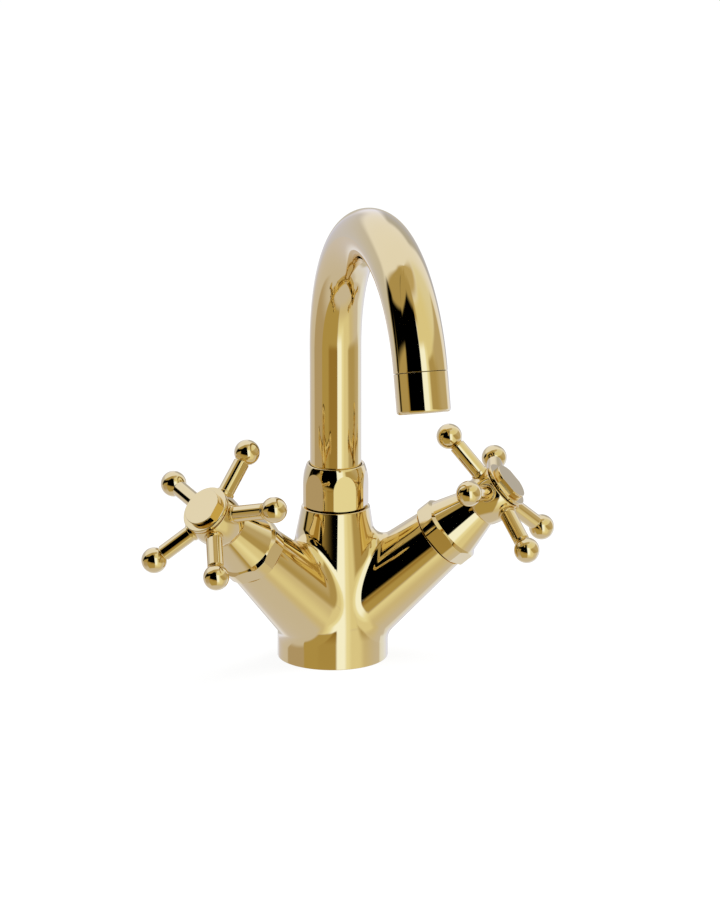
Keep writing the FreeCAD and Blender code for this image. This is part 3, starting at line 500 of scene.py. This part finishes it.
# %% The arms as distance fields
ARM_ROOT, ARM_LENGTH = np.array((0, 1.15, 14.37)), 61.8
ARM_ROOT_RADIUS, ARM_END_RADIUS = 20.35, 13.86
ARM_TAPER = (ARM_ROOT_RADIUS - ARM_END_RADIUS) / ARM_LENGTH
ARM_AXES = [np.array(handle_at[side].col[2][:3]) for side in SIDES]


def arm_field(points, axis):
    """How far points, in mm, lie outside one arm, and the way out of it."""
    along = (points - ARM_ROOT) @ axis
    side = points - ARM_ROOT - along[:, None] * axis
    across = np.linalg.norm(side, axis=1) + TINY
    steep = math.hypot(1, ARM_TAPER)
    out = (side / across[:, None] + ARM_TAPER * axis) / steep
    return np.maximum((across - ARM_ROOT_RADIUS + ARM_TAPER * along) / steep, -along), out


# %% Blend the fields and settle points on them
FILLET, FILLET_SPREAD, MOST_TURN = 5.4, 0.4, 0.98
SETTLE_ROUNDS, LONGEST_MOVE, LEAST_SLOPE = 12, 0.7, 0.05


def blended(first, second):
    """The union of two forms, with a ball rolled along the corner, larger where the corner is flatter."""
    (near, out), (far, away) = first, second
    turn = np.clip((out * away).sum(1), -MOST_TURN, MOST_TURN)
    ball = FILLET / (1 - turn) ** FILLET_SPREAD
    near_in, far_in = ball - near, ball - far
    touching = (near_in > turn * far_in) & (far_in > turn * near_in)
    square = near_in ** 2 + far_in ** 2 - 2 * turn * near_in * far_in
    reach = np.sqrt(np.maximum(square, 0) / (1 - turn ** 2))
    return np.where(touching, ball - reach, np.minimum(near, far))


def casting(points):
    """About how far each point, in mm, lies outside the casting."""
    pillar = pillar_field(points)
    return np.minimum(*[blended(pillar, arm_field(points, axis)) for axis in ARM_AXES])


def slope(points, step=0.01):
    """The field's slope at each point, which is the way out of the casting."""
    moves = np.eye(3) * step
    return np.stack([casting(points + move) - casting(points - move) for move in moves], 1) / (2 * step)


def settled(points):
    """The points, in mm, slid onto the casting's surface."""
    for _ in range(SETTLE_ROUNDS):
        out = slope(points)
        reach = casting(points) / np.maximum((out ** 2).sum(1), LEAST_SLOPE)
        points = points - out * np.clip(reach, -LONGEST_MOVE, LONGEST_MOVE)[:, None]
    return points


# %% [markdown]
# The remesh needs a closed form to start from, so plain cones are set where foot, pillar and arms
# are. They only have to be roughly right, because the field puts every vertex in its place. They are
# a little too long, so that the skin's soft ends can be cut off. A second, finer remesh of the settled
# skin spreads the quads evenly over the fillets too.

# %% A rough casting from cones
SPARE, ROUGH_STEPS = 3.0, 96


def add_cone(bm, low, high, length, at):
    """Add a closed cone, in mm, with its middle at a matrix, and return its vertices."""
    return bmesh.ops.create_cone(bm, cap_ends=True, segments=ROUGH_STEPS, radius1=low * MM,
                                 radius2=high * MM, depth=length * MM, matrix=at)["verts"]


rough = bmesh.new()
foot_middle = Matrix.Translation((0, 0, (FOOT_HEIGHT - SPARE) / 2 * MM))
add_cone(rough, FOOT_RADIUS, FOOT_RADIUS, FOOT_HEIGHT + SPARE, foot_middle)
rough_length = PILLAR_LENGTH + SPARE
pillar_middle = Matrix.Translation((0, 0, (FOOT_HEIGHT + rough_length / 2) * MM))
pillar = add_cone(rough, FOOT_RADIUS, PILLAR_RADIUS, rough_length, pillar_middle)
head = [vert for vert in pillar if vert.co.z > 2 * FOOT_HEIGHT * MM]
bmesh.ops.translate(rough, vec=(0, spout_back * MM, 0), verts=head)
for side, axis in zip(SIDES, ARM_AXES):
    arm_middle = Matrix.Translation(Vector((ARM_ROOT + axis * (ARM_LENGTH + SPARE) / 2) * MM))
    add_cone(rough, ARM_ROOT_RADIUS, ARM_END_RADIUS, ARM_LENGTH + SPARE,
             arm_middle @ handle_at[side].to_3x3().to_4x4())
print(len(rough.verts), "vertices on the rough casting")

# %% An even skin on the field
FOOT_RIM, PILLAR_RIM, ARM_RIM = 0.3, 0.4, 0.15
ENDS = [(np.array((0, 0, FOOT_RIM)), np.array((0, 0, -1.0)), FOOT_RIM),
        (np.array((0, spout_back, PILLAR_TOP - PILLAR_RIM)), np.array((0, 0, 1.0)), PILLAR_RIM)]
ENDS += [(ARM_ROOT + axis * (ARM_LENGTH - ARM_RIM), axis, ARM_RIM) for axis in ARM_AXES]
FIRST_SKIN, LAST_SKIN = 0.9, 0.7


def skinned(bm, size):
    """An even skin of quads round a bmesh, its vertices settled on the casting."""
    mesh = mesh_from(bm, "rough_casting")
    obj = placed("rough_casting", mesh)
    remesh = obj.modifiers.new("skin", "REMESH")
    remesh.mode = "VOXEL"
    remesh.voxel_size = size * MM
    even = bmesh.new()
    even.from_object(obj, bpy.context.evaluated_depsgraph_get())
    bpy.data.objects.remove(obj)
    bpy.data.meshes.remove(mesh)
    points = np.array([vert.co for vert in even.verts]) / MM
    past = np.max([(points - place) @ normal for place, normal, _ in ENDS], axis=0)
    near = past < SPARE / 2
    points[near] = settled(points[near])
    for vert, point in zip(even.verts, points):
        vert.co = point * MM
    return even


cast = skinned(skinned(rough, FIRST_SKIN), LAST_SKIN)
print(len(cast.verts), "vertices on the casting")

# %% [markdown]
# On the real casting the foot is faced off flat, and the seats for the nut and the bonnets are cut on
# a lathe and bored. Here a plane cuts each end square, and the open rim is rolled in by a small quarter
# circle. A boolean could cut the bores, but bridging a rim to the bore's own circle keeps the mesh
# closed and leaves no slivers on the polished skin.

# %% Cut the casting's ends square


def trimmed(bm, place, normal, near=0.12, rounds=6):
    """Cut the casting at a plane, merge what is too fine along the cut, and return the open rim."""
    centre, axis = Vector(place * MM), Vector(normal)

    def on_cut(vert):
        return abs((vert.co - centre).dot(axis)) < 2 * near * MM

    bmesh.ops.bisect_plane(bm, geom=everything(bm), dist=near * MM, plane_co=centre, plane_no=axis,
                           clear_outer=True)
    loose = once(vert for edge in bm.edges if edge.is_boundary for vert in edge.verts)
    bmesh.ops.remove_doubles(bm, verts=[vert for vert in loose if on_cut(vert)], dist=near * MM)
    rim = [edge for edge in bm.edges if edge.is_boundary and all(map(on_cut, edge.verts))]
    ends = once(vert for edge in rim for vert in edge.verts)
    points = np.array([vert.co for vert in ends]) / MM
    for _ in range(rounds):
        points = settled(points)
        points = points - np.outer((points - place) @ normal, normal)
    for vert, point in zip(ends, points):
        vert.co = point * MM
    return rim


# %% Roll the rims of the ends


def rolled(bm, rim, place, normal, size, steps=4):
    """Extrude an open round rim in steps, so that it turns in by a quarter circle."""
    centre, axis = Vector(place * MM), Vector(normal)
    for step in range(steps):
        first, last = math.pi / 2 * step / steps, math.pi / 2 * (step + 1) / steps
        grown = bmesh.ops.extrude_edge_only(bm, edges=rim)["geom"]
        rim = only(BMEdge, grown)
        for vert in only(BMVert, grown):
            out = vert.co - centre
            out = (out - axis * out.dot(axis)).normalized()
            vert.co += axis * size * MM * (math.sin(last) - math.sin(first))
            vert.co -= out * size * MM * (math.cos(first) - math.cos(last))
    return rim


rims = [rolled(cast, trimmed(cast, place, normal), place, normal, size) for place, normal, size in ENDS]
print([len(rim) for rim in rims], "edges round the casting's four ends")

# %% A blind hole


def hole(bm, radius, at, depth, segments=96):
    """A blind hole: a circle at a place, its wall, and its floor. Returns the circle's edges."""
    verts = bmesh.ops.create_circle(bm, segments=segments, radius=radius * MM, matrix=at)["verts"]
    mouth = once(edge for vert in verts for edge in vert.link_edges)
    wall = bmesh.ops.extrude_edge_only(bm, edges=mouth)["geom"]
    bmesh.ops.translate(bm, verts=only(BMVert, wall), vec=at.to_3x3() @ Vector((0, 0, -depth * MM)))
    bmesh.ops.edgeloop_fill(bm, edges=only(BMEdge, wall))
    return mouth


def facing(place, side=None):
    """A matrix at a point, in mm, with Z out of the casting: along an arm, or up."""
    turn = handle_at[side].to_3x3().to_4x4() if side else Matrix()
    return Matrix.Translation(Vector(place) * MM) @ turn


# %% Bores in the four ends
INLET, INLET_X, INLET_Y, STUD, STUD_Y, FOOT_DEPTH = 4.5, 10, -4.41, 3.4, 12, 14
SPOUT_BORE, SPOUT_DEPTH, VALVE_BORE, VALVE_DEPTH = 9.1, 14, 10.45, 18.8
under = Matrix.Rotation(math.pi, 4, "X")
foot_holes = [(INLET, -INLET_X, INLET_Y), (INLET, INLET_X, INLET_Y), (STUD, 0, STUD_Y)]
inlets = sum((hole(cast, radius, facing((x, y, 0)) @ under, FOOT_DEPTH) for radius, x, y in foot_holes), [])
bmesh.ops.triangle_fill(cast, edges=rims[0] + inlets, use_beauty=True)
mouth = hole(cast, SPOUT_BORE, facing((0, spout_back, PILLAR_TOP)), SPOUT_DEPTH, len(rims[1]))
bmesh.ops.bridge_loops(cast, edges=rims[1] + mouth)
for side, axis, rim in zip(SIDES, ARM_AXES, rims[2:]):
    mouth = hole(cast, VALVE_BORE, facing(ARM_ROOT + axis * ARM_LENGTH, side), VALVE_DEPTH, len(rim))
    bmesh.ops.bridge_loops(cast, edges=rim + mouth)
print(len([edge for edge in cast.edges if not edge.is_manifold]), "loose edges on the casting")

# %% [markdown]
# A mirror shows the smallest step between two faces. The field knows the true direction at every
# vertex on it, so those vertices get it as their normal, and only the rims and bores keep the mesh's
# own. A finer mesh would do the same at many times the size.

# %% Exact normals on the casting
ON_SURFACE = 0.002
casting_piece = piece(cast, "casting", "root", "mixer_body", even=False)
points = np.array([vert.co for vert in casting_piece.data.vertices]) / MM
outward = slope(points)
outward /= np.linalg.norm(outward, axis=1)[:, None]
outward[np.abs(casting(points)) > ON_SURFACE] = 0
casting_piece.data.normals_split_custom_set_from_vertices(outward.tolist())
print(int((np.abs(outward).sum(1) > 0).sum()), "exact normals of", len(points))

# %% [markdown]
# ## Camera
#
# The picture was taken with a long lens from the front, a little left of the spout and about fifteen
# degrees above it. A long lens keeps the two handles nearly the same size.

# %% Set up the camera
AIM = Vector((9.956, -7.889, 92.524)) * MM
BACK = Vector((-0.28766, -0.92215, 0.25859)).normalized()
LENS, SENSOR, CAMERA_DISTANCE = 200.3, 36, 2144.6
camera = placed("camera", bpy.data.cameras.new("camera"))
camera.data.lens = LENS
camera.data.sensor_width = SENSOR
camera.location = AIM + BACK * CAMERA_DISTANCE * MM
camera.rotation_euler = BACK.to_track_quat("Z", "Y").to_euler()
bpy.context.scene.camera = camera
bpy.context.scene.view_settings.view_transform = "Standard"
print("camera at", [round(c, 3) for c in camera.location])

# %% [markdown]
# ## White ground
#
# A catalogue picture has a white table that runs up into a white wall. The world gives both: it is
# white to the camera, to reflections and to anything seen through, and lights the rest a little less.
# The table is a disc that shines by itself nearly to white and takes the last part from the light that
# falls on it, so that the soft shadow under the tap stays. One broad lamp overhead throws that shadow
# and keeps out of the reflections.

# %% Two helpers for shader nodes


def shade(tree, kind, *inputs, **settings):
    """Add a shader node, set it up, and link or fill its inputs in order."""
    node = tree.nodes.new("ShaderNode" + kind)
    for name, value in settings.items():
        setattr(node, name, value)
    for socket, value in zip(node.inputs, inputs):
        if isinstance(value, bpy.types.NodeSocket):
            tree.links.new(value, socket)
        elif value is not None:
            socket.default_value = value
    return node


def seen(tree):
    """1 for rays from the camera, off shiny things and through clear ones, else 0."""
    path = shade(tree, "LightPath").outputs
    either = shade(tree, "Math", path["Is Camera Ray"], path["Is Glossy Ray"], operation="MAXIMUM").outputs[0]
    return shade(tree, "Math", either, path["Is Transmission Ray"], operation="MAXIMUM").outputs[0]


# %% World
ROOM_LIGHT, ROOM_WHITE = 0.6, 1.0
world = bpy.data.worlds.new("white_room")
bpy.context.scene.world = world
world.use_nodes = True
tree = world.node_tree
level = shade(tree, "MapRange", seen(tree), 0.0, 1.0, ROOM_LIGHT, ROOM_WHITE)
tree.links.new(level.outputs[0], tree.nodes["Background"].inputs["Strength"])
tree.nodes["Background"].inputs["Color"].default_value = (1, 1, 1, 1)
print("world lights with", ROOM_LIGHT, "and shows as", ROOM_WHITE)

# %% Table
TABLE_RADIUS, PAPER, PAPER_GLOW, GLOW_SHARE = 8, (0.85, 0.85, 0.85, 1), 1.06, 0.86
disc = bmesh.new()
bmesh.ops.create_circle(disc, cap_ends=True, segments=96, radius=TABLE_RADIUS)
table_mesh = mesh_from(disc, "table")
table = placed("table", table_mesh)
paper = bpy.data.materials.new("white_paper")
paper.use_nodes = True
tree = paper.node_tree
tree.nodes.clear()
lit = shade(tree, "BsdfDiffuse", PAPER)
glow = shade(tree, "Emission", (1, 1, 1, 1), PAPER_GLOW)
white = shade(tree, "MixShader", GLOW_SHARE, lit.outputs[0], glow.outputs[0])
mixed = shade(tree, "MixShader", seen(tree), lit.outputs[0], white.outputs[0])
shade(tree, "OutputMaterial", mixed.outputs[0])
table_mesh.materials.append(paper)
table.visible_glossy = False
print("table", 2 * TABLE_RADIUS, "m across")

# %% Lamp over the tap
LAMP_SIZE, LAMP_POWER, LAMP_PLACE = 1.2, 30, (0.3, -0.3, 1.6)
lamp = placed("top_light", bpy.data.lights.new("top_light", "AREA"))
lamp.data.shape = "DISK"
lamp.data.size = LAMP_SIZE
lamp.data.energy = LAMP_POWER
lamp.location = LAMP_PLACE
lamp.rotation_euler = (lamp.location - AIM).to_track_quat("Z", "Y").to_euler()
lamp.visible_glossy = False
print("lamp of", LAMP_POWER, "W at", LAMP_PLACE)

# %% [markdown]
# ## The light tent
#
# Polished metal has no look of its own: what shows is the room round it. A photographer of shiny
# things builds that room on purpose, from white paper, brown card and a black flag. The tent does the
# same with one large ball that only reflections see. Its material lays soft-edged panels over each
# other, each with its place in degrees: round from the camera (minus is left), and up from level. The
# panels could be lamps or planes, but on one ball none of them can get in another's way.

# %% Hang the tent
TENT_RADIUS = 3
sphere = bmesh.new()
bmesh.ops.create_uvsphere(sphere, u_segments=96, v_segments=48, radius=TENT_RADIUS)
tent_mesh = mesh_from(sphere, "light_tent")
tent = placed("light_tent", tent_mesh)
tent.rotation_euler.z = math.atan2(BACK.y, BACK.x)
tent.visible_camera = tent.visible_diffuse = tent.visible_transmission = tent.visible_shadow = False
print("tent", 2 * TENT_RADIUS, "m across")

# %% Directions in the tent
tent_light = bpy.data.materials.new("tent_light")
tent_light.use_nodes = True
tent_light.cycles.emission_sampling = "NONE"
tent_mesh.materials.append(tent_light)
tree = tent_light.node_tree
tree.nodes.clear()


def degrees(radians):
    """An angle's socket in degrees."""
    return shade(tree, "Math", radians, math.degrees(1), operation="MULTIPLY").outputs[0]


toward = shade(tree, "VectorMath", shade(tree, "TexCoord").outputs["Object"], operation="NORMALIZE")
x, y, z = shade(tree, "SeparateXYZ", toward.outputs[0]).outputs
round_angle = degrees(shade(tree, "Math", y, x, operation="ARCTAN2").outputs[0])
up_angle = degrees(shade(tree, "Math", z, operation="ARCSINE").outputs[0])
print(len(tree.nodes), "nodes find the direction in the tent")

# %% A panel of the tent


def soft_step(angle, place, soft):
    """A step from 0 to 1 as an angle passes a place, over a soft width; a negative one steps down."""
    return shade(tree, "MapRange", angle, place - soft / 2, place + soft / 2, 0.0, 1.0,
                 interpolation_type="SMOOTHSTEP").outputs[0]


def panel(under, name, colour, across, upward, soft, lean=0.0, tilt=0.0):
    """Lay a panel over the light so far. Soft widths are for its left, right, lower and upper edge."""
    leant = shade(tree, "Math", up_angle, -lean, round_angle, operation="MULTIPLY_ADD").outputs[0]
    tilted = shade(tree, "Math", round_angle, -tilt, up_angle, operation="MULTIPLY_ADD").outputs[0]
    mask = 1.0
    for angle, place, width in ((leant, across[0], soft[0]), (leant, across[1], -soft[1]),
                                (tilted, upward[0], soft[2]), (tilted, upward[1], -soft[3])):
        mask = shade(tree, "Math", soft_step(angle, place, width), mask, operation="MULTIPLY").outputs[0]
    mix = tree.nodes.new("ShaderNodeMix")
    mix.label = name
    mix.data_type = "RGBA"
    tree.links.new(mask, mix.inputs["Factor"])
    mix.inputs["B"].default_value = (*colour, 1)
    if isinstance(under, tuple):
        mix.inputs["A"].default_value = (*under, 1)
    else:
        tree.links.new(under, mix.inputs["A"])
    return mix.outputs["Result"]


# %% [markdown]
# The list below runs from the lowest panel to the topmost, which is how they cover each other. Each
# row has the panel's name and colour, where it lies round and up, its four soft edges, and for some
# a lean or a tilt. The white paper lies under all of them.

# %% Panels of the tent
WHITE_PAPER, GREY_WALL, TAN_WALL = (0.94, 1.04, 1.55), (0.66, 0.71, 1.02), (0.86, 0.88, 0.77)
BROWN_CARD, GREY_EDGE, BLACK_FLAG = (0.5, 0.42, 0.24), (0.6, 0.59, 0.58), (0, 0, 0)
PANELS = [
    ("rear wall, left", GREY_WALL, (-166, -106), (-40, 24), (14, 12, 16, 12)),
    ("rear wall, right", (0.53, 0.57, 0.78), (146, 178), (-9, 40), (8, 8, 6, 12)),
    ("right wall, upper half", (0.87, 0.93, 1.05), (60, 122), (20, 66), (40, 24, 8, 12)),
    ("front wall, right", TAN_WALL, (5, 84), (-14, 64), (4, 50, 2, 12)),
    ("ceiling", (0.6, 0.53, 0.38), (-80, 115), (68, 95), (20, 40, 10, 5)),
    ("card under the ceiling", BROWN_CARD, (-80, 12), (50, 80), (12, 14, 8, 16)),
    ("card on the left", BROWN_CARD, (-112, -50), (-13, 76), (7, 4, 4, 16), 0.5),
    ("floor", (0.69, 0.71, 0.95), (-181, 181), (-95, -10), (0.1, 0.1, 1, 2)),
    ("floor, rear left", (0.86, 0.92, 1.2), (-182, -154), (-60, -8), (1, 12, 20, 6)),
    ("floor, rear right", (0.84, 0.93, 1.35), (132, 182), (-62, -10), (10, 1, 12, 2)),
    ("floor, right", (0.9, 1.04, 1.6), (116, 148), (-36, -10), (6, 14, 10, 2)),
    ("floor, left", (0.52, 0.46, 0.43), (-108, -55), (-36, -10), (6, 8, 24, 2)),
    ("floor, front right", (0.73, 0.71, 0.66), (9, 88), (-60, -10), (3, 40, 16, 2)),
    ("floor below the window", (0.86, 0.88, 0.8), (9, 66), (-46, -10), (3, 16, 14, 2)),
    ("right wall, lower half", (0.58, 0.53, 0.45), (64, 121), (-15, 27), (24, 8, 8, 6)),
    ("card on the right", BROWN_CARD, (48, 86), (-14, 25), (12, 24, 8, 5), -0.9),
    ("glow round the window", (0.97, 1.05, 1.05), (12, 37), (-36, 34), (6, 10, 14, 10)),
    ("window", (1.14, 1.36, 2.06), (4, 27.5), (-24, 35), (3, 8, 16, 8)),
    # Painted shadow: the table in front as it would look in the black flag's shadow and reflection, in a brown
    # tone.
    ("floor, front left", (0.5, 0.41, 0.19), (-62, 8), (-57, -9), (4, 6, 12, 3)),
    ("shade under the flag", (0.36, 0.25, 0.08), (-30, 8), (-15, -8), (10, 4, 8, 2)),
    ("sill under the flag", (0.45, 0.34, 0.14), (-62, 0), (-10, 8), (4, 8, 3, 2)),
    ("rear edge, right", GREY_EDGE, (166, 182), (-40, 10), (8, 1, 12, 12)),
    ("rear edge, left", GREY_EDGE, (-182, -166), (-40, 10), (1, 8, 12, 12)),
    ("narrow flag", BLACK_FLAG, (-110, -99), (-9, 25), (6, 6, 6, 6), 0.35),
    ("slanting flag", BLACK_FLAG, (-98, -54), (52, 72.5), (8, 4, 6, 5), 0.0, 0.55),
    ("large flag", BLACK_FLAG, (-56, 7), (-8.5, 59), (6, 2, 6, 10), -0.1, -0.15),
    ("card over the flags", BROWN_CARD, (-61, -34), (97, 130), (2, 2, 6, 2), 0.0, 1.0),
]
light = WHITE_PAPER
for row in PANELS:
    light = panel(light, *row)
glow = shade(tree, "Emission", light, 1.0)
shade(tree, "OutputMaterial", glow.outputs[0])
print(len(PANELS), "panels and", len(tree.nodes), "nodes in the tent")
